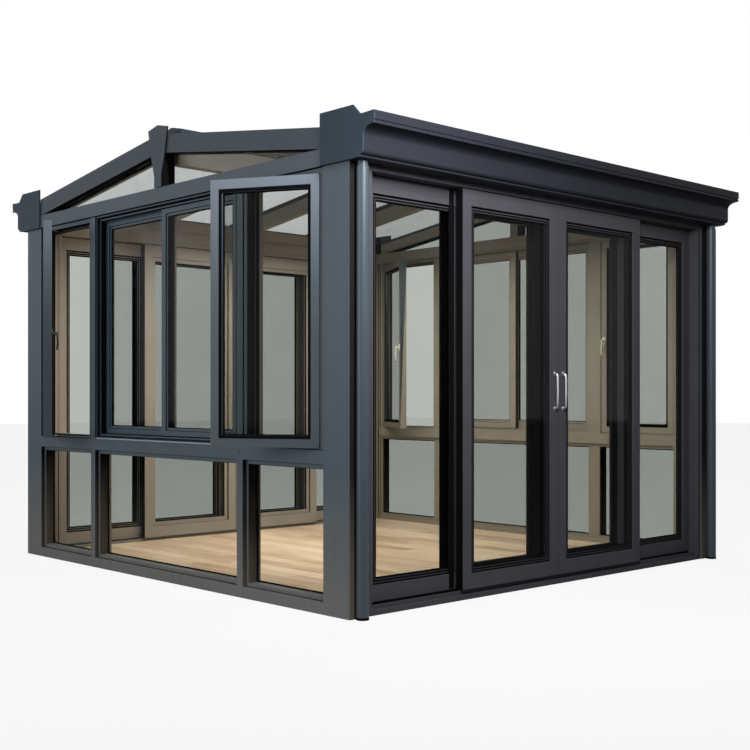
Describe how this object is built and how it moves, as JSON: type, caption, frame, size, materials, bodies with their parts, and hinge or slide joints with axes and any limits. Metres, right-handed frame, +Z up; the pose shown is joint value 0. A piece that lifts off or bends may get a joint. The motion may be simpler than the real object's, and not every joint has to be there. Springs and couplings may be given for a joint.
{
  "type": "conservatory",
  "caption": "Glazed aluminium conservatory with a shallow glass gable roof, sliding doors front and rear, windowed gable walls and moulded gutters with corner pipes.",
  "frame": {"origin": "centre of the footprint on the ground, midway between the gable faces and door faces", "axes": "+Z up, -Y towards the front doors, -X towards the gable wall whose casements stand open"},
  "size_m": [3.7849, 3.937, 2.83],
  "materials": {
    "frame_paint": "satin powder coat",
    "gutter_paint": "satin powder coat",
    "sash_grey": "satin powder coat",
    "floor_wood": "satin laminate planks",
    "wall_glass": "clear float glass",
    "roof_glass": "laminated glass",
    "pull_steel": "brushed",
    "lever_cream": "gloss enamel"
  },
  "bodies": {
    "house": {"floor": "floor_wood", "corner_posts": "frame_paint", "eave_beams": "frame_paint", "left_rails": "frame_paint", "left_mullions": "frame_paint", "left_window_frames": "frame_paint", "left_sliding_sashes": "frame_paint", "left_casements": "sash_grey", "left_window_handles": "lever_cream", "left_gable_truss": "frame_paint", "left_glass": "wall_glass", "right_rails": "frame_paint", "right_mullions": "frame_paint", "right_window_frames": "frame_paint", "right_sliding_sashes": "frame_paint", "right_casements": "sash_grey", "right_window_handles": "lever_cream", "right_gable_truss": "frame_paint", "right_glass": "wall_glass", "front_door_frame": "frame_paint", "front_fixed_leaves": "frame_paint", "front_fixed_glass": "wall_glass", "rear_door_frame": "frame_paint", "rear_fixed_leaves": "frame_paint", "rear_fixed_glass": "wall_glass", "ridge_beam": "frame_paint", "roof_rafters": "frame_paint", "roof_glass": "roof_glass", "roof_caps": "frame_paint", "front_gutter": "gutter_paint", "rear_gutter": "gutter_paint", "gutter_end_plates": "gutter_paint", "rainwater_pipes": "gutter_paint"},
    "front_left_door": {"front_left_leaf": "frame_paint", "front_left_leaf_glass": "wall_glass", "front_left_pull": "pull_steel"},
    "front_left_screen_door": {"front_left_screen": "frame_paint"},
    "front_right_door": {"front_right_leaf": "frame_paint", "front_right_leaf_glass": "wall_glass", "front_right_pull": "pull_steel"},
    "front_right_screen_door": {"front_right_screen": "frame_paint"},
    "rear_left_door": {"rear_left_leaf": "frame_paint", "rear_left_leaf_glass": "wall_glass", "rear_left_pull": "pull_steel"},
    "rear_left_screen_door": {"rear_left_screen": "frame_paint"},
    "rear_right_door": {"rear_right_leaf": "frame_paint", "rear_right_leaf_glass": "wall_glass", "rear_right_pull": "pull_steel"},
    "rear_right_screen_door": {"rear_right_screen": "frame_paint"}
  },
  "joints": [
    {"name": "front_left_door_slide", "type": "slide", "parent": "house", "child": "front_left_door", "axis": [-1, 0, 0], "range_m": [0, 0.69]},
    {"name": "front_left_screen_slide", "type": "slide", "parent": "house", "child": "front_left_screen_door", "axis": [-1, 0, 0], "range_m": [0, 0.69]},
    {"name": "front_right_door_slide", "type": "slide", "parent": "house", "child": "front_right_door", "axis": [1, 0, 0], "range_m": [0, 0.69]},
    {"name": "front_right_screen_slide", "type": "slide", "parent": "house", "child": "front_right_screen_door", "axis": [1, 0, 0], "range_m": [0, 0.69]},
    {"name": "rear_left_door_slide", "type": "slide", "parent": "house", "child": "rear_left_door", "axis": [-1, 0, 0], "range_m": [0, 0.69]},
    {"name": "rear_left_screen_slide", "type": "slide", "parent": "house", "child": "rear_left_screen_door", "axis": [-1, 0, 0], "range_m": [0, 0.69]},
    {"name": "rear_right_door_slide", "type": "slide", "parent": "house", "child": "rear_right_door", "axis": [1, 0, 0], "range_m": [0, 0.69]},
    {"name": "rear_right_screen_slide", "type": "slide", "parent": "house", "child": "rear_right_screen_door", "axis": [1, 0, 0], "range_m": [0, 0.69]}
  ]
}
